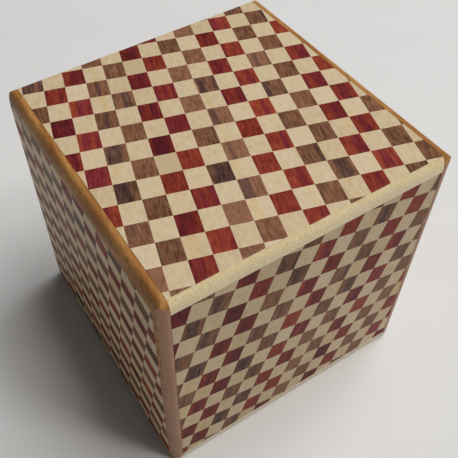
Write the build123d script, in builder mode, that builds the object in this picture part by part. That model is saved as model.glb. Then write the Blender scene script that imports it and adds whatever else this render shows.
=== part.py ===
# Cube-shaped secret-opening box, built from thin boards, rails, keys and veneer sheets.
#
# Frame, in millimetres: X runs from the left end panel to the right one, Y from the front
# wall to the back wall, Z up. The origin is the centre of the face that the box stands on.
#
# The carcass is four walls and a floor. The lid and the bottom panel slide along Y on
# L-shaped rails, whose feet run in grooves in the end walls. The two end panels slide
# up on dovetail strips. Two small keys slide along X through the end walls: pushed in,
# one locks the lid and the other locks the bottom panel.

from build123d import *

import math
import os

os.makedirs("parts", exist_ok=True)

# ---- Overall size ----
WIDTH = 90.9
DEPTH = 90.9
HEIGHT = 90.9
EDGE_RADIUS = 3.0

# ---- Board thicknesses ----
VENEER = 0.2
END_BOARD = 3.3
LID_BOARD = 4.6
BOTTOM_BOARD = 4.0
FACE_WALL = 5.8
END_WALL = 6.5
FLOOR_BOARD = 2.5

# ---- Clearances ----
SLIDE_GAP = 0.08
GROOVE_SLACK = 0.3
PEG_GAP = 0.02
KEY_GAP = 0.1
NOTCH_GAP = 0.25

# ---- Travels ----
LID_TRAVEL = 50.0
BOTTOM_TRAVEL = 8.0
END_TRAVEL = 5.0
KEY_TRAVEL = 2.5

# ---- Rails under the lid and on the bottom panel ----
RAIL_LEG = 3.0
RAIL_FOOT = 2.1
FOOT_THICK = 2.5
LID_RAIL_DROP = 7.0
BOTTOM_RAIL_RISE = 5.0

# ---- Floor ----
FLOOR_HOUSING = 1.2
FLOOR_LIFT = 1.8

# ---- Dovetail strips of the end panels, and the blocks that they rest on ----
STRIP_ROOT = 9.0
STRIP_TIP = 12.0
STRIP_THICK = 3.0
STRIP_LIFT = 24.0
STRIP_HEADROOM = 15.5
STOP_BLOCK_HEIGHT = 6.0

# ---- Keys ----
KEY_WIDTH = 4.0
KEY_HEIGHT = 2.4
LID_KEY_INSET = 14.5
BOTTOM_KEY_INSET = 19.5

# ---- Bamboo pegs through the front and back walls into the end walls ----
PEG_RADIUS = 1.0
PEG_BITE = 7.0
PEGS_PER_CORNER = 3
PEG_END_SPACE = 14.0

# ---- Planes worked out from the sizes ----
END_INNER = WIDTH / 2 - VENEER - END_BOARD
LID_HALF = END_INNER - SLIDE_GAP
WALL_OUTER = LID_HALF
WALL_INNER = WALL_OUTER - END_WALL
FACE_OUTER = DEPTH / 2 - VENEER
FACE_INNER = FACE_OUTER - FACE_WALL
LID_TOP = HEIGHT - VENEER
LID_UNDER = LID_TOP - LID_BOARD
BOTTOM_TOP = VENEER + BOTTOM_BOARD
WALL_LOW = BOTTOM_TOP + SLIDE_GAP
WALL_HIGH = LID_UNDER - SLIDE_GAP

# ---- Rail and groove places ----
LEG_OUTER = WALL_INNER - SLIDE_GAP
LEG_INNER = LEG_OUTER - RAIL_LEG
FOOT_TIP = LEG_OUTER + RAIL_FOOT
GROOVE_FLOOR = FOOT_TIP + GROOVE_SLACK
LID_FOOT_LOW = LID_UNDER - LID_RAIL_DROP
LID_FOOT_HIGH = LID_FOOT_LOW + FOOT_THICK
BOTTOM_FOOT_HIGH = BOTTOM_TOP + BOTTOM_RAIL_RISE
BOTTOM_FOOT_LOW = BOTTOM_FOOT_HIGH - FOOT_THICK
LID_RAIL_LENGTH = 2 * (FACE_INNER - SLIDE_GAP) - LID_TRAVEL
BOTTOM_RAIL_LENGTH = 2 * (FACE_INNER - SLIDE_GAP) - BOTTOM_TRAVEL
LID_RAIL_FRONT = -(FACE_INNER - SLIDE_GAP)
BOTTOM_RAIL_FRONT = LID_RAIL_FRONT + BOTTOM_TRAVEL

# ---- Floor, strip, key and peg places ----
STRIP_GROOVE_TOP = WALL_HIGH - STRIP_HEADROOM
STRIP_LENGTH = STRIP_GROOVE_TOP - SLIDE_GAP - END_TRAVEL - STRIP_LIFT
LID_KEY_Y = LID_RAIL_FRONT + LID_KEY_INSET
BOTTOM_KEY_Y = BOTTOM_RAIL_FRONT + BOTTOM_RAIL_LENGTH - BOTTOM_KEY_INSET
FLOOR_LOW = BOTTOM_FOOT_HIGH + SLIDE_GAP + FLOOR_LIFT
LID_KEY_Z = (LID_FOOT_LOW + LID_FOOT_HIGH) / 2
BOTTOM_KEY_Z = (BOTTOM_FOOT_LOW + BOTTOM_FOOT_HIGH) / 2
KEY_INNER_END = GROOVE_FLOOR + KEY_GAP / 2
KEY_OUTER_END = WALL_OUTER - KEY_GAP
NOTCH_FLOOR = KEY_INNER_END - KEY_TRAVEL - SLIDE_GAP
PEG_X = (WALL_OUTER + GROOVE_FLOOR) / 2
PEG_RUN = WALL_HIGH - WALL_LOW - 2 * PEG_END_SPACE

FLOOR_UP = (Align.CENTER, Align.CENTER, Align.MIN)


def block(low, high, mode=Mode.ADD):
    """A box between two opposite corners, placed in the part being built."""
    size = [b - a for a, b in zip(low, high)]
    with Locations(tuple((a + b) / 2 for a, b in zip(low, high))):
        Box(*size, mode=mode)


def dovetail(depth_from, gap):
    """Corners of the left strip seen from above, grown by a gap on its flanks and tip."""
    flare = (STRIP_TIP - STRIP_ROOT) / (2 * STRIP_THICK)
    tip = STRIP_THICK + gap
    near = STRIP_ROOT / 2 + gap + flare * depth_from
    far = STRIP_ROOT / 2 + gap + flare * tip
    x_near = depth_from - END_INNER
    x_far = tip - END_INNER
    return [(x_near, -near), (x_far, -far), (x_far, far), (x_near, near)]


def rail_outline(board_z, tip_z):
    """Corners of the right rail seen along Y: a leg off its board and an outward foot."""
    step_z = tip_z + math.copysign(FOOT_THICK, board_z - tip_z)
    return [
        (LEG_INNER, board_z),
        (LEG_OUTER, board_z),
        (LEG_OUTER, step_z),
        (FOOT_TIP, step_z),
        (FOOT_TIP, tip_z),
        (LEG_INNER, tip_z),
    ]


def key_notch(side, key_y, low, high):
    """Cuts a key's notch through a rail's foot and a little way into its leg."""
    reach = KEY_WIDTH / 2 + NOTCH_GAP
    near, far = sorted((side * NOTCH_FLOOR, side * (FOOT_TIP + 1)))
    block((near, key_y - reach, low - 1), (far, key_y + reach, high + 1), Mode.SUBTRACT)


def key_bar(side, key_y, key_z):
    """A key drawn back into its mortise, clear of the groove."""
    near, far = sorted((side * KEY_INNER_END, side * KEY_OUTER_END))
    half_w, half_h = KEY_WIDTH / 2, KEY_HEIGHT / 2
    block((near, key_y - half_w, key_z - half_h), (far, key_y + half_w, key_z + half_h))


def key_mortise(side, key_y, key_z):
    """The hole that a key slides in, from an end wall's outer face to its groove."""
    near, far = sorted((side * (GROOVE_FLOOR - 1), side * (WALL_OUTER + 1)))
    half_w, half_h = KEY_WIDTH / 2 + KEY_GAP, KEY_HEIGHT / 2 + KEY_GAP
    low = (near, key_y - half_w, key_z - half_h)
    high = (far, key_y + half_w, key_z + half_h)
    block(low, high, Mode.SUBTRACT)


def peg_heights():
    """Heights of the pegs at one corner, spread evenly up the wall."""
    step = PEG_RUN / (PEGS_PER_CORNER - 1)
    return [WALL_LOW + PEG_END_SPACE + i * step for i in range(PEGS_PER_CORNER)]


def peg_rods(radius, length, sides, faces, mode=Mode.ADD):
    """Rods along Y, each from the outer face of the front (-1) or back (1) wall inwards."""
    middle = FACE_OUTER - length / 2
    spots = [(x * PEG_X, y * middle, z) for x in sides for y in faces for z in peg_heights()]
    with Locations(*spots):
        Cylinder(radius, length, rotation=(90, 0, 0), mode=mode)


# ---- Outer shape: the whole cube with every edge rounded ----
with BuildPart() as envelope:
    Box(WIDTH, DEPTH, HEIGHT, align=FLOOR_UP)
    fillet(envelope.edges(), EDGE_RADIUS)

# ---- Lid ----
with BuildPart() as lid_core:
    block((-LID_HALF, -DEPTH / 2, LID_UNDER), (LID_HALF, DEPTH / 2, LID_TOP))
    add(envelope.part, mode=Mode.INTERSECT)
lid_core.part.label = "lid_core"
export_step(lid_core.part, "parts/lid_core.step")

with BuildPart() as lid_veneer:
    block((-LID_HALF, -DEPTH / 2, LID_TOP), (LID_HALF, DEPTH / 2, HEIGHT))
    add(envelope.part, mode=Mode.INTERSECT)
lid_veneer.part.label = "lid_veneer"
export_step(lid_veneer.part, "parts/lid_veneer.step")

with BuildPart() as plain_lid_rail:
    with BuildSketch(Plane.XZ.offset(-LID_RAIL_FRONT)):
        with BuildLine():
            Polyline(*rail_outline(LID_UNDER, LID_FOOT_LOW), close=True)
        make_face()
    extrude(amount=-LID_RAIL_LENGTH)

with BuildPart() as lid_rail_right:
    add(plain_lid_rail.part)
    key_notch(1, LID_KEY_Y, LID_FOOT_LOW, LID_FOOT_HIGH)
lid_rail_right.part.label = "lid_rail_right"
export_step(lid_rail_right.part, "parts/lid_rail_right.step")

with BuildPart() as lid_rail_left:
    mirror(plain_lid_rail.part, about=Plane.YZ)
lid_rail_left.part.label = "lid_rail_left"
export_step(lid_rail_left.part, "parts/lid_rail_left.step")

# ---- Bottom panel ----
with BuildPart() as bottom_core:
    block((-LID_HALF, -DEPTH / 2, VENEER), (LID_HALF, DEPTH / 2, BOTTOM_TOP))
    add(envelope.part, mode=Mode.INTERSECT)
bottom_core.part.label = "bottom_core"
export_step(bottom_core.part, "parts/bottom_core.step")

with BuildPart() as bottom_veneer:
    block((-LID_HALF, -DEPTH / 2, 0), (LID_HALF, DEPTH / 2, VENEER))
    add(envelope.part, mode=Mode.INTERSECT)
bottom_veneer.part.label = "bottom_veneer"
export_step(bottom_veneer.part, "parts/bottom_veneer.step")

with BuildPart() as bottom_rail_right:
    with BuildSketch(Plane.XZ.offset(-BOTTOM_RAIL_FRONT)):
        with BuildLine():
            Polyline(*rail_outline(BOTTOM_TOP, BOTTOM_FOOT_HIGH), close=True)
        make_face()
    extrude(amount=-BOTTOM_RAIL_LENGTH)
bottom_rail_right.part.label = "bottom_rail_right"
export_step(bottom_rail_right.part, "parts/bottom_rail_right.step")

with BuildPart() as bottom_rail_left:
    mirror(bottom_rail_right.part, about=Plane.YZ)
    key_notch(-1, BOTTOM_KEY_Y, BOTTOM_FOOT_LOW, BOTTOM_FOOT_HIGH)
bottom_rail_left.part.label = "bottom_rail_left"
export_step(bottom_rail_left.part, "parts/bottom_rail_left.step")

# ---- End panels ----
with BuildPart() as left_end_core:
    block((-WIDTH / 2 + VENEER, -DEPTH / 2, 0), (-END_INNER, DEPTH / 2, HEIGHT))
    add(envelope.part, mode=Mode.INTERSECT)
left_end_core.part.label = "left_end_core"
export_step(left_end_core.part, "parts/left_end_core.step")

with BuildPart() as left_end_veneer:
    block((-WIDTH / 2, -DEPTH / 2, 0), (-WIDTH / 2 + VENEER, DEPTH / 2, HEIGHT))
    add(envelope.part, mode=Mode.INTERSECT)
left_end_veneer.part.label = "left_end_veneer"
export_step(left_end_veneer.part, "parts/left_end_veneer.step")

with BuildPart() as left_end_strip:
    with BuildSketch(Plane.XY.offset(STRIP_LIFT)):
        with BuildLine():
            Polyline(*dovetail(0, 0), close=True)
        make_face()
    extrude(amount=STRIP_LENGTH)
left_end_strip.part.label = "left_end_strip"
export_step(left_end_strip.part, "parts/left_end_strip.step")

with BuildPart() as right_end_core:
    mirror(left_end_core.part, about=Plane.YZ)
right_end_core.part.label = "right_end_core"
export_step(right_end_core.part, "parts/right_end_core.step")

with BuildPart() as right_end_veneer:
    mirror(left_end_veneer.part, about=Plane.YZ)
right_end_veneer.part.label = "right_end_veneer"
export_step(right_end_veneer.part, "parts/right_end_veneer.step")

with BuildPart() as right_end_strip:
    mirror(left_end_strip.part, about=Plane.YZ)
right_end_strip.part.label = "right_end_strip"
export_step(right_end_strip.part, "parts/right_end_strip.step")

# ---- Carcass walls ----
with BuildPart() as plain_end_wall:
    block((-WALL_OUTER, -FACE_INNER, WALL_LOW), (-WALL_INNER, FACE_INNER, WALL_HIGH))
    for groove_low, groove_high in (
        (LID_FOOT_LOW - SLIDE_GAP, LID_FOOT_HIGH + SLIDE_GAP),
        (BOTTOM_FOOT_LOW - SLIDE_GAP, BOTTOM_FOOT_HIGH + SLIDE_GAP),
    ):
        block(
            (-GROOVE_FLOOR, -FACE_INNER, groove_low),
            (-WALL_INNER, FACE_INNER, groove_high),
            Mode.SUBTRACT,
        )
    with BuildSketch(Plane.XY.offset(WALL_LOW)):
        with BuildLine():
            Polyline(*dovetail(0, SLIDE_GAP), close=True)
        make_face()
    extrude(amount=STRIP_GROOVE_TOP - WALL_LOW, mode=Mode.SUBTRACT)
    block(
        (-WALL_INNER - FLOOR_HOUSING, -FACE_INNER, FLOOR_LOW),
        (-WALL_INNER, FACE_INNER, FLOOR_LOW + FLOOR_BOARD),
        Mode.SUBTRACT,
    )
    peg_rods(PEG_RADIUS + PEG_GAP, FACE_WALL + PEG_BITE, (-1,), (-1, 1), Mode.SUBTRACT)

with BuildPart() as left_wall:
    add(plain_end_wall.part)
    key_mortise(-1, BOTTOM_KEY_Y, BOTTOM_KEY_Z)
left_wall.part.label = "left_wall"
export_step(left_wall.part, "parts/left_wall.step")

with BuildPart() as right_wall:
    mirror(plain_end_wall.part, about=Plane.YZ)
    key_mortise(1, LID_KEY_Y, LID_KEY_Z)
right_wall.part.label = "right_wall"
export_step(right_wall.part, "parts/right_wall.step")

with BuildPart() as front_wall:
    block((-WALL_OUTER, -FACE_OUTER, WALL_LOW), (WALL_OUTER, -FACE_INNER, WALL_HIGH))
    block(
        (-WALL_INNER, -FACE_INNER - FLOOR_HOUSING, FLOOR_LOW),
        (WALL_INNER, -FACE_INNER, FLOOR_LOW + FLOOR_BOARD),
        Mode.SUBTRACT,
    )
    peg_rods(PEG_RADIUS + PEG_GAP, FACE_WALL, (-1, 1), (-1,), Mode.SUBTRACT)
front_wall.part.label = "front_wall"
export_step(front_wall.part, "parts/front_wall.step")

with BuildPart() as back_wall:
    mirror(front_wall.part, about=Plane.XZ)
back_wall.part.label = "back_wall"
export_step(back_wall.part, "parts/back_wall.step")

with BuildPart() as front_veneer:
    block((-WALL_OUTER, -DEPTH / 2, WALL_LOW), (WALL_OUTER, -FACE_OUTER, WALL_HIGH))
front_veneer.part.label = "front_veneer"
export_step(front_veneer.part, "parts/front_veneer.step")

with BuildPart() as back_veneer:
    mirror(front_veneer.part, about=Plane.XZ)
back_veneer.part.label = "back_veneer"
export_step(back_veneer.part, "parts/back_veneer.step")

with BuildPart() as floor_board:
    side_reach = WALL_INNER + FLOOR_HOUSING
    face_reach = FACE_INNER + FLOOR_HOUSING
    block(
        (-side_reach, -FACE_INNER, FLOOR_LOW),
        (side_reach, FACE_INNER, FLOOR_LOW + FLOOR_BOARD),
    )
    block(
        (-WALL_INNER, -face_reach, FLOOR_LOW),
        (WALL_INNER, face_reach, FLOOR_LOW + FLOOR_BOARD),
    )
floor_board.part.label = "floor_board"
export_step(floor_board.part, "parts/floor_board.step")

with BuildPart() as bamboo_pegs:
    peg_rods(PEG_RADIUS, FACE_WALL + PEG_BITE - PEG_GAP, (-1, 1), (-1, 1))
bamboo_pegs.part.label = "bamboo_pegs"
export_step(bamboo_pegs.part, "parts/bamboo_pegs.step")

with BuildPart() as left_stop_block:
    with BuildSketch(Plane.XY.offset(STRIP_LIFT - STOP_BLOCK_HEIGHT)):
        with BuildLine():
            Polyline(*dovetail(SLIDE_GAP, SLIDE_GAP), close=True)
        make_face()
    extrude(amount=STOP_BLOCK_HEIGHT)
left_stop_block.part.label = "left_stop_block"
export_step(left_stop_block.part, "parts/left_stop_block.step")

with BuildPart() as right_stop_block:
    mirror(left_stop_block.part, about=Plane.YZ)
right_stop_block.part.label = "right_stop_block"
export_step(right_stop_block.part, "parts/right_stop_block.step")

# ---- Keys, drawn back: the lid and the bottom panel are free to slide ----
with BuildPart() as lid_key:
    key_bar(1, LID_KEY_Y, LID_KEY_Z)
lid_key.part.label = "lid_key"
export_step(lid_key.part, "parts/lid_key.step")

with BuildPart() as bottom_key:
    key_bar(-1, BOTTOM_KEY_Y, BOTTOM_KEY_Z)
bottom_key.part.label = "bottom_key"
export_step(bottom_key.part, "parts/bottom_key.step")
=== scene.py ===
# %% [markdown]
# A small secret-opening box, dressed in wood.
#
# The real thing is a cube of thin boards, covered on all six faces with a sheet of marquetry:
# short sticks of pale, red and brown wood in a slanted check. The lid and the bottom panel
# slide between two end panels, so a pale board shows along the front edge of the top, and a
# honey-coloured board frames each end face.
#
# The boards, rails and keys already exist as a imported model. It is the fixed frame here:
# Blender adds the veneers, the rounded boards, the wood itself, the light and the camera.

# %% Load the frame
import math
import random

import bmesh
import bpy
from mathutils import Matrix, Vector, noise


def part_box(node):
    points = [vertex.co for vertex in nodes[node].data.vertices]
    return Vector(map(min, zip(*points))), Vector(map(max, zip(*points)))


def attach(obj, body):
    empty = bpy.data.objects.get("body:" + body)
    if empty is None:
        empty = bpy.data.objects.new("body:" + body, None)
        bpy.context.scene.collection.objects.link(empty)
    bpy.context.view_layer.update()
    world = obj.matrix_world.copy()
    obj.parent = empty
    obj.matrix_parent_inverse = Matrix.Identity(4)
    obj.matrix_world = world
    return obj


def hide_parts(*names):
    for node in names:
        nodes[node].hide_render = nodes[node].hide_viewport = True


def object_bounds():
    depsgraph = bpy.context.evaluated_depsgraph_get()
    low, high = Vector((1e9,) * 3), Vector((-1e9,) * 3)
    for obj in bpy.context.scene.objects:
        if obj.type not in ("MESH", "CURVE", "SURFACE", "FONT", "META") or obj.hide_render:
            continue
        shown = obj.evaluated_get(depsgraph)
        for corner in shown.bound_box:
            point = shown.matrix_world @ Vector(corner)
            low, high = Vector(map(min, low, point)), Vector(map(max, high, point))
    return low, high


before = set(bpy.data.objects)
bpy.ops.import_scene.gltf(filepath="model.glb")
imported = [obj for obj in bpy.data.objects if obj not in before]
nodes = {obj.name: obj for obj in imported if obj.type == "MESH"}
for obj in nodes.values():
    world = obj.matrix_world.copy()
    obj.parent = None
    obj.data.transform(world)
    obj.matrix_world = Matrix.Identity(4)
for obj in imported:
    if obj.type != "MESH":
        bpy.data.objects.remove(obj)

cad_low, cad_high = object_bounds()
print("frame loaded:", len(nodes), "nodes")

# %% [markdown]
# Sizes come from the frame, so that nothing has to be fitted later.
#
# The cube's edges are rounded after the veneer is glued on. Rounding cuts through a thin
# sheet close to the edge, so the sheet ends a little short of the side, and the board below
# shows. That shortfall and the sheet's thickness are enough to work the radius out again.

# %% Read the sizes
MM = 0.001
HAIR = 0.001 * MM
cube_half = (cad_high.x - cad_low.x) / 2
cube_middle = (cad_low + cad_high) / 2
lid_sheet_low, lid_sheet_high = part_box("lid_veneer")
veneer_thick = lid_sheet_high.z - lid_sheet_low.z
shortfall = cube_half - lid_sheet_high.y
edge_radius = shortfall + veneer_thick + math.sqrt(2 * shortfall * veneer_thick)
print(f"side {2 * cube_half / MM:.2f} mm, edge radius {edge_radius / MM:.2f} mm")
print(f"veneer {veneer_thick / MM:.2f} mm thick")

# %% [markdown]
# Every wood below is a node material, and a node tree is quicker to write with small helpers:
# one adds a node and fills its sockets, others do arithmetic, mix colours, make a colour ramp,
# or draw noise out along the grain.

# %% Helpers for node trees
RELIEF_DEPTH = 0.03 * MM


def add_node(tree, kind, values=None, **settings):
    """Adds a node, sets its properties, and fills its sockets with numbers or links."""
    made = tree.nodes.new(kind)
    for key, value in settings.items():
        setattr(made, key, value)
    for key, value in (values or {}).items():
        if isinstance(value, bpy.types.NodeSocket):
            tree.links.new(value, made.inputs[key])
        else:
            made.inputs[key].default_value = value
    return made


def calc(tree, operation, *values):
    """One Math node: each value is a number or a socket."""
    made = add_node(tree, "ShaderNodeMath", dict(enumerate(values)), operation=operation)
    return made.outputs[0]


def blend_colours(tree, factor, first, second):
    """One Mix node for colours: each colour is a tuple or a socket."""
    values = {0: factor, 6: first, 7: second}
    return add_node(tree, "ShaderNodeMix", values, data_type="RGBA").outputs[2]


def colour(red, green, blue):
    """A colour as a screen shows it, 0 to 255, turned into the linear one that light needs."""
    linear = []
    for level in (red, green, blue):
        share = level / 255
        linear.append(share / 12.92 if share <= 0.04045 else ((share + 0.055) / 1.055) ** 2.4)
    return (*linear, 1.0)


def ramp(tree, factor, stops):
    """A colour ramp through (place, colour) stops."""
    made = add_node(tree, "ShaderNodeValToRGB", {"Fac": factor})
    elements = made.color_ramp.elements
    while len(elements) < len(stops):
        elements.new(0.5)
    for element, (place, shade) in zip(elements, stops):
        element.position = place
        element.color = shade
    return made.outputs["Color"]


def spread(tree, factor, low, high):
    """Stretches the part of a noise between low and high to the whole range 0 to 1."""
    values = {"Value": factor, "From Min": low, "From Max": high}
    return add_node(tree, "ShaderNodeMapRange", values).outputs["Result"]


def grain_noise(tree, place, stretch, scale, detail=2.0, distortion=0.0):
    """Noise drawn out along the grain: stretch multiplies the coordinates first."""
    mapped = add_node(tree, "ShaderNodeMapping", {"Vector": place, "Scale": stretch})
    values = {"Vector": mapped.outputs[0], "Scale": scale, "Detail": detail}
    values["Distortion"] = distortion
    return add_node(tree, "ShaderNodeTexNoise", values).outputs["Fac"]


def grain_layer(tree, place, stretch, scale, between, detail=2.0, distortion=0.0):
    """Noise along the grain, with the part between two levels stretched to 0 to 1."""
    drawn_out = grain_noise(tree, place, stretch, scale, detail, distortion)
    return spread(tree, drawn_out, *between)


def add_relief(tree, shader, height, strength):
    """Turns a height, 0 to 1, into a shallow relief on the surface."""
    values = {"Strength": strength, "Distance": RELIEF_DEPTH, "Height": height}
    bump = add_node(tree, "ShaderNodeBump", values)
    tree.links.new(bump.outputs[0], shader.inputs["Normal"])


def set_gloss(shader, specular, coat, coat_roughness):
    """How much the bare wood shines, and the lacquer over it."""
    shader.inputs["Specular IOR Level"].default_value = specular
    shader.inputs["Coat Weight"].default_value = coat
    shader.inputs["Coat Roughness"].default_value = coat_roughness


def new_material(name):
    """An empty node material with a Principled shader, ready for its colour."""
    material = bpy.data.materials.new(name)
    material.use_nodes = True
    tree = material.node_tree
    tree.nodes.clear()
    shader = tree.nodes.new("ShaderNodeBsdfPrincipled")
    output = tree.nodes.new("ShaderNodeOutputMaterial")
    tree.links.new(shader.outputs[0], output.inputs[0])
    return material, tree, shader

# %% [markdown]
# The woods of the sheets. Each stick is a splinter of a real board, with wavy streaks along
# its length, and often a lengthwise change of hue where heartwood meets paler wood.
#
# A solid texture would run straight through the check and give the trick away. So every
# stick reads a flat map laid out in millimetres, across and along the stick, and two numbers
# of its own: how dark it is, and how far its hue leans to the second colour of its wood.

# %% The three woods of the sheets
STICK_MAP = "sticks"
TONE = "tone"
HUE = "hue"
SHADE_PLACES = (0.1, 0.5, 0.9)
HUE_CHANGE_WIDTH = 0.09


def stick_wood(name, main, second, second_from, streak, blotch, fleck, relief):
    """A lacquered veneer wood: main and second are its two hues, each dark, middle, light."""
    material, tree, shader = new_material(name)
    place = add_node(tree, "ShaderNodeUVMap", uv_map=STICK_MAP).outputs[0]
    tone = add_node(tree, "ShaderNodeAttribute", attribute_name=TONE).outputs["Fac"]
    hue = add_node(tree, "ShaderNodeAttribute", attribute_name=HUE).outputs["Fac"]
    streaks = grain_layer(tree, place, (1, 0.15, 1), 1.5, (0.3, 0.7), 3.0, 0.4)
    fibres = grain_layer(tree, place, (1, 0.1, 1), 4.6, (0.3, 0.7))
    blotches = grain_layer(tree, place, (1, 0.6, 1), 0.7, (0.35, 0.65), 1.0)
    pores = grain_layer(tree, place, (1, 0.16, 1), 3.6, (0.6, 0.72), 1.0)
    shade = calc(tree, "MULTIPLY_ADD", streaks, streak, tone)
    shade = calc(tree, "MULTIPLY_ADD", fibres, streak * 0.4, shade)
    shade = calc(tree, "MULTIPLY_ADD", blotches, blotch, shade)
    shade = calc(tree, "SUBTRACT", shade, streak * 0.7 + blotch * 0.5)
    zones = grain_noise(tree, place, (1, 0.03, 1), 0.3, 1.5)
    zones = calc(tree, "MULTIPLY_ADD", hue, 0.3, zones)
    zones = spread(tree, zones, second_from, second_from + HUE_CHANGE_WIDTH)
    main_shade = ramp(tree, shade, list(zip(SHADE_PLACES, main)))
    second_shade = ramp(tree, shade, list(zip(SHADE_PLACES, second)))
    base = blend_colours(tree, zones, main_shade, second_shade)
    base = blend_colours(tree, calc(tree, "MULTIPLY", pores, fleck), base, second[0])
    tree.links.new(base, shader.inputs["Base Color"])
    rough = calc(tree, "MULTIPLY_ADD", fibres, 0.12, 0.36)
    tree.links.new(rough, shader.inputs["Roughness"])
    add_relief(tree, shader, calc(tree, "MULTIPLY_ADD", pores, -1.0, fibres), relief)
    set_gloss(shader, specular=0.05, coat=0.02, coat_roughness=0.25)
    return material


cream_wood = stick_wood(
    "cream_stick_wood",
    (colour(203, 178, 141), colour(215, 192, 156), colour(224, 203, 169)),
    (colour(203, 173, 127), colour(215, 188, 143), colour(224, 199, 156)),
    second_from=0.76,
    streak=0.26,
    blotch=0.3,
    fleck=0.08,
    relief=0.2,
)
red_wood = stick_wood(
    "red_stick_wood",
    (colour(104, 37, 28), colour(138, 55, 41), colour(164, 75, 50)),
    (colour(82, 28, 34), colour(116, 39, 42), colour(140, 55, 56)),
    second_from=0.58,
    streak=0.55,
    blotch=0.2,
    fleck=0.3,
    relief=0.4,
)
brown_wood = stick_wood(
    "brown_stick_wood",
    (colour(92, 60, 42), colour(130, 88, 64), colour(154, 110, 84)),
    (colour(60, 42, 40), colour(94, 67, 58), colour(122, 88, 73)),
    second_from=0.66,
    streak=0.6,
    blotch=0.2,
    fleck=0.45,
    relief=0.4,
)
SHEET_WOODS = [cream_wood, red_wood, brown_wood]
CREAM, RED, BROWN = range(3)
print("sheet woods:", ", ".join(wood.name for wood in SHEET_WOODS))

# %% [markdown]
# The solid boards are thicker, and one board shows long grain on its side and end grain on
# its end. Growth rings round a line outside the board, and noise drawn out along the same
# line, give both from one solid texture: lines on the long side, dots on the end.
#
# End grain also soaks up lacquer and light in another way, so its colour is a different one.
# On the pale and the honey board that colour is also painted light: lighter than the wood's own,
# on the faces that look front and back. The direction that the surface faces tells the two apart.
#
# A wave texture of scale 1 turns through 20 radians in each unit, so its scale comes from
# that and from the distance between two rings.

# %% Solid board woods
GRAIN_ALONG = {
    "X": (0.0, 0.0, 0.0),
    "Y": (0.0, 0.0, math.radians(-90)),
}
WAVE_RADIANS = 20


class Timber:
    """One timber: colours of long grain and end grain, rings, and how far the colour of
    the long grain comes down over an edge that looks up as well as forward."""

    def __init__(self, early, late, line, end, speck, ring, lines, specks, over_edge=0.8):
        self.early = colour(*early)
        self.late = colour(*late)
        self.line = colour(*line)
        self.end = colour(*end)
        self.speck = colour(*speck)
        self.ring = ring
        self.lines = lines
        self.specks = specks
        self.over_edge = over_edge


def board_wood(name, along, heart, timber, lean=0.0, lacquer=0.0, gloss=0.3):
    """Solid wood with its grain along one axis, and its heart some millimetres away."""
    material, tree, shader = new_material(name)
    own = add_node(tree, "ShaderNodeTexCoord")
    turn = Vector(GRAIN_ALONG[along]) + Vector((0.0, 0.0, math.radians(lean)))
    values = {"Vector": own.outputs["Object"], "Scale": (1 / MM,) * 3}
    values.update({"Rotation": turn, "Location": heart})
    place = add_node(tree, "ShaderNodeMapping", values).outputs[0]
    slow = add_node(tree, "ShaderNodeMapping", {"Vector": place, "Scale": (0.12, 1, 1)})
    values = {"Vector": slow.outputs[0], "Scale": math.tau / WAVE_RADIANS / timber.ring}
    values.update({"Distortion": 5.0, "Detail": 2.0, "Detail Scale": 0.6})
    kind = {"wave_type": "RINGS", "rings_direction": "X", "wave_profile": "SIN"}
    growth = add_node(tree, "ShaderNodeTexWave", values, **kind).outputs["Fac"]
    fibres = grain_layer(tree, place, (0.06, 1, 1), 1.5, (0.32, 0.68), 4.0)
    clouds = grain_layer(tree, place, (0.2, 1, 1), 0.12, (0.35, 0.65))
    lines = grain_layer(tree, place, (0.08, 1, 1), 3.6, (0.5, 0.64), distortion=0.3)
    specks = grain_layer(tree, place, (0.3, 1, 1), 3.3, (0.4, 0.7))
    long_grain = blend_colours(tree, calc(tree, "MULTIPLY", growth, 0.7), timber.early, timber.late)
    long_grain = blend_colours(tree, calc(tree, "MULTIPLY", fibres, 0.35), long_grain, timber.late)
    veins = calc(tree, "MULTIPLY", lines, timber.lines)
    long_grain = blend_colours(tree, veins, long_grain, timber.line)
    dots = calc(tree, "MULTIPLY", specks, timber.specks)
    # End-grain colour; on the pale and honey boards it is partly painted light on the faces that
    # look front and back.
    end_grain_and_painted_light = blend_colours(tree, dots, timber.end, timber.speck)
    faces = add_node(tree, "ShaderNodeSeparateXYZ", {"Vector": own.outputs["Normal"]})
    facing = calc(tree, "ABSOLUTE", faces.outputs[along])
    facing = calc(tree, "MULTIPLY_ADD", faces.outputs["Z"], -timber.over_edge, facing)
    facing = spread(tree, facing, 0.05, 0.3)
    base = blend_colours(tree, facing, long_grain, end_grain_and_painted_light)
    deeper = blend_colours(tree, 0.35, base, timber.line)
    base = blend_colours(tree, calc(tree, "MULTIPLY", clouds, 0.4), base, deeper)
    tree.links.new(base, shader.inputs["Base Color"])
    dry = 0.3 if lacquer else 0.5
    rough = calc(tree, "MULTIPLY_ADD", fibres, 0.14, dry)
    tree.links.new(rough, shader.inputs["Roughness"])
    height = calc(tree, "SUBTRACT", fibres, lines)
    height = calc(tree, "SUBTRACT", height, calc(tree, "MULTIPLY", specks, facing))
    add_relief(tree, shader, height, 0.35)
    set_gloss(shader, gloss, lacquer, coat_roughness=0.2)
    return material


# Its end colour is lighter than the wood's own: a painted highlight on the lid's front edge.
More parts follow.
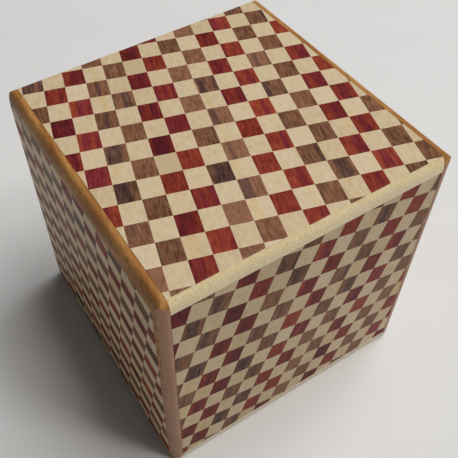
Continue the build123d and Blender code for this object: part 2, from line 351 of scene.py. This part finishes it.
pale_timber = Timber(
    early=(238, 217, 172), late=(224, 197, 146), line=(190, 152, 98),
    end=(255, 238, 192), speck=(222, 182, 116), ring=2.6, lines=0.3, specks=0.8,
)
# Its end colour is partly painted light: lighter and pinker on the faces that look front and back.
honey_timber = Timber(
    early=(202, 148, 86), late=(160, 104, 52), line=(104, 58, 24),
    end=(192, 146, 117), speck=(152, 110, 86), ring=3.2, lines=0.5, specks=0.7,
    over_edge=4.0,
)
plain_timber = Timber(
    early=(226, 202, 158), late=(208, 178, 130), line=(168, 132, 88),
    end=(214, 186, 142), speck=(176, 142, 98), ring=3.0, lines=0.4, specks=0.5,
)
rail_timber = Timber(
    early=(206, 168, 120), late=(176, 132, 88), line=(128, 88, 56),
    end=(184, 144, 100), speck=(140, 100, 64), ring=1.6, lines=0.5, specks=0.5,
)
key_timber = Timber(
    early=(166, 116, 78), late=(126, 82, 52), line=(84, 50, 32),
    end=(136, 92, 60), speck=(92, 58, 38), ring=1.4, lines=0.6, specks=0.5,
)
bamboo_timber = Timber(
    early=(224, 204, 140), late=(196, 168, 104), line=(150, 118, 66),
    end=(214, 192, 130), speck=(140, 110, 60), ring=0.9, lines=0.5, specks=0.7,
)
BOARD_WOODS = {
    "pale_board": board_wood(
        "pale_board_wood", "Y", (0, 25, -60), pale_timber, lean=2.0, lacquer=0.8
    ),
    "honey_end_board": board_wood(
        "honey_board_wood", "Y", (0, 90, 25), honey_timber, lean=9.0, lacquer=0.03, gloss=0.1
    ),
    "carcass_wood": board_wood("carcass_wood", "Y", (0, 30, -70), plain_timber),
    "rail_hardwood": board_wood("rail_wood", "Y", (0, 40, 30), rail_timber),
    "key_hardwood": board_wood("key_wood", "X", (0, 30, 20), key_timber),
    "bamboo": board_wood("bamboo_wood", "Y", (0, 15, 10), bamboo_timber),
}
print("board woods:", ", ".join(sorted(BOARD_WOODS)))

# %% [markdown]
# The outside was planed and sanded by hand after the boards were glued up: the edges are not
# round all alike. The lid's front edge is worn far down the front, the end boards far down
# their sides, and where two such edges meet, the corner stays pointed.
#
# A bevel would round every corner to a ball. So each edge is planed here as well: a fan of
# flat cuts, each one touching a quarter of an ellipse. Where a face of the frame's node
# stops, one more cut saws the block off, and every cut is closed again with a flat face.

# %% A slice of the planed cube
PLANE_STROKES = 12
SAW_SNAP = 1e-7
LEFT, RIGHT = (0, -1), (0, 1)
FRONT, BACK = (1, -1), (1, 1)
UNDER, TOP = (2, -1), (2, 1)
WORN_EDGES = {
    (FRONT, TOP): (2.2 * MM, 4.5 * MM),
    (BACK, TOP): (2.4 * MM, 4.0 * MM),
    (LEFT, TOP): (2.7 * MM, 6.8 * MM),
    (RIGHT, TOP): (3.0 * MM, 4.6 * MM),
    (LEFT, FRONT): (3.0 * MM, 4.7 * MM),
    (FRONT, UNDER): (3.6 * MM, 3.6 * MM),
}
WIDEST_ROUNDING = max(max(extents) for extents in WORN_EDGES.values())
print(f"widest rounding {WIDEST_ROUNDING / MM:.1f} mm")


def saw(made, place, normal):
    """Cuts away what lies in front of a plane, and closes the block with a flat face."""
    cut = bmesh.ops.bisect_plane(
        made,
        geom=made.verts[:] + made.edges[:] + made.faces[:],
        dist=SAW_SNAP,
        plane_co=place,
        plane_no=normal,
        clear_outer=True,
    )
    rim = [part for part in cut["geom_cut"] if isinstance(part, bmesh.types.BMEdge)]
    if rim:
        bmesh.ops.contextual_create(made, geom=rim)


def plane_edge(made, first, second, first_reach, second_reach):
    """Rounds one edge: first_reach is how far the rounding comes in on the second face."""
    for stroke in range(PLANE_STROKES):
        angle = (stroke + 0.5) / PLANE_STROKES * math.pi / 2
        place = cube_middle.copy()
        normal = Vector((0, 0, 0))
        for (axis, sign), reach, share in (
            (first, first_reach, math.cos(angle)),
            (second, second_reach, math.sin(angle)),
        ):
            place[axis] += sign * (cube_half - reach + reach * share)
            normal[axis] = sign * share / reach
        saw(made, place, normal.normalized())


def rounded_slice(low, high):
    """The part of the planed cube between two corners, as a closed mesh under edit."""
    made = bmesh.new()
    bmesh.ops.create_cube(made, size=2 * cube_half)
    bmesh.ops.translate(made, verts=made.verts, vec=cube_middle)
    sides = (LEFT, RIGHT, FRONT, BACK, UNDER, TOP)
    for index, first in enumerate(sides):
        for second in sides[index + 1:]:
            if first[0] != second[0]:
                reaches = WORN_EDGES.get((first, second), (edge_radius, edge_radius))
                plane_edge(made, first, second, *reaches)
    for axis in range(3):
        for edge, limit, sign in ((low, cad_low, -1), (high, cad_high, 1)):
            if abs(edge[axis] - limit[axis]) < HAIR:
                continue
            normal = Vector((0, 0, 0))
            normal[axis] = sign
            saw(made, edge, normal)
    bmesh.ops.recalc_face_normals(made, faces=made.faces)
    return made

# %% [markdown]
# Finishing a piece is always the same: the mesh gets its name, smooth shading that stops at
# sharp corners, its wood, and the body that it moves with. Weighted normals keep the large
# flat faces flat next to a narrow rounding.

# %% Finish a piece
SHARP_FROM = math.radians(32)


def finish_piece(made, name, body, woods, stands_for):
    """Turns an edited mesh into a named piece that rides on a body in place of a node."""
    open_edges = sum(1 for edge in made.edges if not edge.is_manifold)
    mesh = bpy.data.meshes.new(name)
    made.to_mesh(mesh)
    made.free()
    mesh.shade_smooth()
    mesh.set_sharp_from_angle(angle=SHARP_FROM)
    for wood in woods:
        mesh.materials.append(wood)
    piece = bpy.data.objects.new(name, mesh)
    bpy.context.scene.collection.objects.link(piece)
    weighted = piece.modifiers.new("flat_faces_stay_flat", "WEIGHTED_NORMAL")
    weighted.keep_sharp = True
    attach(piece, body)
    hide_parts(stands_for)
    print(f"{name}: {len(mesh.polygons)} faces, {open_edges} open edges")

# %% [markdown]
# The lid and the bottom are pale boards, and the two ends are honey-coloured ones. A maker
# planes them together once they are in place, so each one here is a slice of one planed cube.

# %% The four outer boards
OUTER_BOARDS = {
    "lid_board": ("lid_core", "lid", "pale_board"),
    "bottom_board": ("bottom_core", "bottom_panel", "pale_board"),
    "left_end_board": ("left_end_core", "left_end", "honey_end_board"),
    "right_end_board": ("right_end_core", "right_end", "honey_end_board"),
}
for name, (node, body, slot) in OUTER_BOARDS.items():
    low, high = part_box(node)
    board = rounded_slice(low, high)
    finish_piece(board, name, body, [BOARD_WOODS[slot]], node)

# %% [markdown]
# A marquetry sheet starts as a slice too, only 0.2 mm thick. Real sheets are planed off a
# block of glued sticks, so all the joints run right through, and straight cuts through the
# whole slice make the same sticks here.
#
# Two sets of parallel cuts give the check. They stand almost square to each other, and the
# whole check is turned a little on the face. Every second stick is cream. The dark ones are
# red for two columns and brown for the next two.
#
# Each stick then gets a place on the flat map, a tone and a hue of its own. Sticks in one
# column came off one strip of wood, so they share part of their tone, and their streaks
# nearly line up.
#
# The joints drift a little too, as hand work does. Blender's vector noise starts from the
# clock unless it is given a seed, and then the box would differ from run to run.

# %% Lay one sheet
JOINT_SNAP = 1e-6
DRIFT = 0.16 * MM
DRIFT_WAVE = 9 * MM
DRIFT_FADE = 4 * MM
STRIP_TONE, STICK_TONE = 0.08, 0.12
HUE_MIDDLE, HUE_SPREAD = 0.3, 0.3
MAP_WIDTH, MAP_LENGTH = 400, 40
DRIFT_SEED = 1
noise.seed_set(DRIFT_SEED)


class Check:
    """How a sheet's sticks lie: angles from the face's right hand, sizes in millimetres."""

    def __init__(self, across, along, width, length, start_across, start_along, red_first):
        self.across = Vector((math.cos(math.radians(across)), math.sin(math.radians(across))))
        self.along = Vector((math.cos(math.radians(along)), math.sin(math.radians(along))))
        self.width = width * MM
        self.length = length * MM
        self.start = Vector((start_across, start_along))
        self.red_first = red_first
        rows = (self.across * self.width, self.along * self.length)
        self.to_cells = Matrix(rows).transposed().inverted()

    def cell(self, flat):
        """Where a point of the face lies, counted in sticks across and along."""
        return self.to_cells @ flat - self.start

    def wood(self, column, row):
        """Which wood a stick is made of."""
        if (column + row) % 2:
            return CREAM
        return RED if (column // 2) % 2 == (0 if self.red_first else 1) else BROWN


def sheet_limits(node):
    """A sheet's box, opened towards the rounded edges: planing gives it its outline there."""
    low, high = (Vector(corner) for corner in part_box(node))
    for axis in range(3):
        if low[axis] - cad_low[axis] < edge_radius:
            low[axis] = cad_low[axis]
        if cad_high[axis] - high[axis] < edge_radius:
            high[axis] = cad_high[axis]
    return low, high


def cut_joints(made, check, right, up):
    """Cuts the sheet along both sets of joints, out past the face's corners."""
    reach = 1.5 * cube_half
    for step, direction, other, start in (
        (check.width, check.across, check.along, check.start.x),
        (check.length, check.along, check.across, check.start.y),
    ):
        flat_normal = Vector((-other.y, other.x))
        normal = right * flat_normal.x + up * flat_normal.y
        count = int(reach / step)
        for line in range(-count, count + 1):
            flat = direction * step * (line + start)
            bmesh.ops.bisect_plane(
                made,
                geom=made.verts[:] + made.edges[:] + made.faces[:],
                dist=JOINT_SNAP,
                plane_co=cube_middle + right * flat.x + up * flat.y,
                plane_no=normal,
            )


def hand_shift(flat, seed):
    """A tiny sideways drift of the joints, none where the box is rounded."""
    room = cube_half - WIDEST_ROUNDING - max(abs(flat.x), abs(flat.y))
    share = min(1.0, max(0.0, room / DRIFT_FADE))
    place = Vector((flat.x, flat.y, 0)) / DRIFT_WAVE + Vector((seed, 0, seed))
    drift = noise.noise_vector(place)
    return Vector((drift.x, drift.y)) * DRIFT * share


def marquetry_sheet(name, node, body, right, up, check, seed):
    """Builds one sheet on the face that right and up span."""
    right, up = Vector(right), Vector(up)
    made = rounded_slice(*sheet_limits(node))
    cut_joints(made, check, right, up)
    tone = made.faces.layers.float.new(TONE)
    hue = made.faces.layers.float.new(HUE)
    stick_map = made.loops.layers.uv.new(STICK_MAP)
    for face in made.faces:
        centre = face.calc_center_median() - cube_middle
        cell = check.cell(Vector((centre.dot(right), centre.dot(up))))
        column, row = math.floor(cell.x), math.floor(cell.y)
        face.material_index = check.wood(column, row)
        strip = random.Random(seed * 1000 + column)
        stick = random.Random(seed * 100000 + column * 300 + row)
        slide = strip.uniform(0, MAP_WIDTH) + stick.uniform(-0.5, 0.5)
        jump = stick.uniform(0, MAP_LENGTH)
        face[tone] = 0.5 + strip.gauss(0, STRIP_TONE) + stick.gauss(0, STICK_TONE)
        face[hue] = min(1.0, max(0.0, stick.gauss(HUE_MIDDLE, HUE_SPREAD)))
        for loop in face.loops:
            place = loop.vert.co - cube_middle
            spot = check.cell(Vector((place.dot(right), place.dot(up))))
            across = (spot.x * check.width) / MM + slide
            along = (spot.y * check.length) / MM + jump
            loop[stick_map].uv = (across, along)
    for vert in made.verts:
        place = vert.co - cube_middle
        drift = hand_shift(Vector((place.dot(right), place.dot(up))), seed)
        vert.co += right * drift.x + up * drift.y
    finish_piece(made, name, body, SHEET_WOODS, node)

# %% [markdown]
# Each face has its own sheet, with its own angles, stick size and starting point, because a
# sheet glued on by hand never lies quite like the next. On the two ends the sticks lie about
# a quarter turn round.

# %% The six sheets
X, Y, Z = (1, 0, 0), (0, 1, 0), (0, 0, 1)
BACK_X, BACK_Y = (-1, 0, 0), (0, -1, 0)
SHEETS = {
    "lid_marquetry": (
        "lid_veneer", "lid", X, Y,
        Check(
            across=-16.4, along=-106.5, width=6.19, length=7.15,
            start_across=0.71, start_along=0.27, red_first=True,
        ),
    ),
    "front_marquetry": (
        "front_veneer", "carcass", X, Z,
        Check(
            across=-15.0, along=-106.1, width=6.17, length=6.95,
            start_across=0.54, start_along=0.73, red_first=False,
        ),
    ),
    "left_marquetry": (
        "left_end_veneer", "left_end", BACK_Y, Z,
        Check(
            across=-103.6, along=-18.3, width=5.43, length=6.84,
            start_across=-0.04, start_along=0.59, red_first=True,
        ),
    ),
    "right_marquetry": (
        "right_end_veneer", "right_end", Y, Z,
        Check(
            across=-105.0, along=-16.5, width=5.5, length=6.9,
            start_across=0.35, start_along=0.1, red_first=True,
        ),
    ),
    "back_marquetry": (
        "back_veneer", "carcass", BACK_X, Z,
        Check(
            across=-15.8, along=-106.0, width=6.18, length=7.0,
            start_across=0.1, start_along=0.4, red_first=True,
        ),
    ),
    "bottom_marquetry": (
        "bottom_veneer", "bottom_panel", X, BACK_Y,
        Check(
            across=-15.6, along=-105.9, width=6.2, length=7.1,
            start_across=0.9, start_along=0.55, red_first=False,
        ),
    ),
}
for seed, (name, (node, body, right, up, check)) in enumerate(SHEETS.items(), 1):
    marquetry_sheet(name, node, body, right, up, check, seed)

# %% [markdown]
# The carcass, rails, strips and keys are inside, and show once the box is opened. Their
# shapes are the frame's own. A copy of each mesh is merged, its flat faces are joined up,
# and every sharp edge is eased with a small bevel, as a maker does with sandpaper.

# %% The inner pieces
INNER_PIECES = {
    "carcass": {
        "carcass_wood": ["front_wall", "back_wall", "left_wall", "right_wall", "floor_board"],
        "rail_hardwood": ["left_stop_block", "right_stop_block"],
    },
    "lid": {"rail_hardwood": ["lid_rail_left", "lid_rail_right"]},
    "bottom_panel": {"rail_hardwood": ["bottom_rail_left", "bottom_rail_right"]},
    "left_end": {"rail_hardwood": ["left_end_strip"]},
    "right_end": {"rail_hardwood": ["right_end_strip"]},
    "lid_key": {"key_hardwood": ["lid_key"]},
    "bottom_key": {"key_hardwood": ["bottom_key"]},
}
EASED = 0.12 * MM
EASED_FROM = math.radians(40)
FLAT_WITHIN = math.radians(0.5)


def eased_copy(node):
    """A merged copy of a node's mesh with its sharp edges eased."""
    made = bmesh.new()
    made.from_mesh(nodes[node].data)
    bmesh.ops.remove_doubles(made, verts=made.verts, dist=HAIR)
    bmesh.ops.dissolve_limit(
        made, angle_limit=FLAT_WITHIN, verts=made.verts, edges=made.edges
    )
    sharp = [edge for edge in made.edges if edge.calc_face_angle(0) > EASED_FROM]
    bmesh.ops.bevel(
        made,
        geom=sharp,
        offset=EASED,
        segments=2,
        profile=0.5,
        affect="EDGES",
        material=-1,
        clamp_overlap=True,
    )
    return made


for body, by_wood in INNER_PIECES.items():
    for slot, names in by_wood.items():
        for node in names:
            eased = eased_copy(node)
            finish_piece(eased, f"eased_{node}", body, [BOARD_WOODS[slot]], node)

# %% [markdown]
# The bamboo pegs lie inside the joints, covered by the veneer, and their round shape is
# right as it is. The node stays, and only its material changes.

# %% The pegs
pegs = nodes["bamboo_pegs"]
pegs.data.materials.clear()
pegs.data.materials.append(BOARD_WOODS["bamboo"])
print("pegs keep their mesh:", len(pegs.data.polygons), "faces")

# %% [markdown]
# The stage is a plain pale floor. It is no part of the box. A touch of
# noise keeps it from looking like empty space.

# %% Floor
FLOOR_HALF = 3.0
FLOOR_SHADES = [(0.3, colour(234, 233, 231)), (0.7, colour(236, 235, 233))]
floor_mesh = bpy.data.meshes.new("floor")
floor_edit = bmesh.new()
bmesh.ops.create_grid(floor_edit, x_segments=4, y_segments=4, size=FLOOR_HALF)
floor_edit.to_mesh(floor_mesh)
floor_edit.free()
floor = bpy.data.objects.new("floor", floor_mesh)
bpy.context.scene.collection.objects.link(floor)
floor_paint, floor_tree, floor_shader = new_material("pale_floor")
floor_place = add_node(floor_tree, "ShaderNodeTexCoord").outputs["Object"]
floor_noise = grain_noise(floor_tree, floor_place, (1, 1, 1), 40.0, 3.0)
floor_base = ramp(floor_tree, floor_noise, FLOOR_SHADES)
floor_tree.links.new(floor_base, floor_shader.inputs["Base Color"])
floor_shader.inputs["Roughness"].default_value = 0.7
floor_shader.inputs["Specular IOR Level"].default_value = 0.2
floor_mesh.materials.append(floor_paint)
print(f"floor is {2 * FLOOR_HALF:.0f} m wide")

# %% [markdown]
# The light is soft and comes from above on the right: the top is brightest, the front lies
# in half shade, and the left side is darker still towards its foot. One large area light
# does most of it, and the floor throws some back at the sides. A small one in front, like a
# window, puts a shine on the lid's worn front edge, and a faint world fills what is left.

# %% Light
ROOM_GREY = 0.07


def area_light(name, place, size, power):
    """A square soft light, in metres and watts, aimed at the box."""
    data = bpy.data.lights.new(name, "AREA")
    data.shape = "SQUARE"
    data.size = size
    data.energy = power
    lamp = bpy.data.objects.new(name, data)
    aim = cube_middle - Vector(place)
    lamp.rotation_euler = aim.to_track_quat("-Z", "Y").to_euler()
    lamp.location = place
    bpy.context.scene.collection.objects.link(lamp)


area_light("key_light", (0.85, -0.1, 2.0), size=1.4, power=35.0)
area_light("window_light", (0.77, -1.05, 1.9), size=0.35, power=8.0)
world = bpy.data.worlds.new("grey_room")
bpy.context.scene.world = world
world.use_nodes = True
background = world.node_tree.nodes["Background"]
background.inputs["Color"].default_value = (1.0, 1.0, 1.0, 1.0)
background.inputs["Strength"].default_value = ROOM_GREY
bpy.context.scene.view_settings.view_transform = "Standard"

# %% [markdown]
# The camera stands close, above the front left corner, and looks down. So close, the top
# spreads out and the sides run together towards the floor.

# %% Camera
SIDE = 2 * cube_half
CAMERA_PLACE = Vector((-0.8547, -1.3106, 2.3695)) * SIDE
CAMERA_TURN = [math.radians(angle) for angle in (39.756, 1.353, -31.464)]
camera_data = bpy.data.cameras.new("close_camera")
camera_data.sensor_width = 36.0
camera_data.lens = 52.716
camera_data.shift_x = 0.0802
camera_data.shift_y = -0.0043
camera_data.clip_start = 0.005
camera = bpy.data.objects.new("close_camera", camera_data)
camera.location = CAMERA_PLACE
camera.rotation_euler = CAMERA_TURN
bpy.context.scene.collection.objects.link(camera)
bpy.context.scene.camera = camera
print("camera is", f"{(camera.location - cube_middle).length / MM:.0f} mm from the middle")
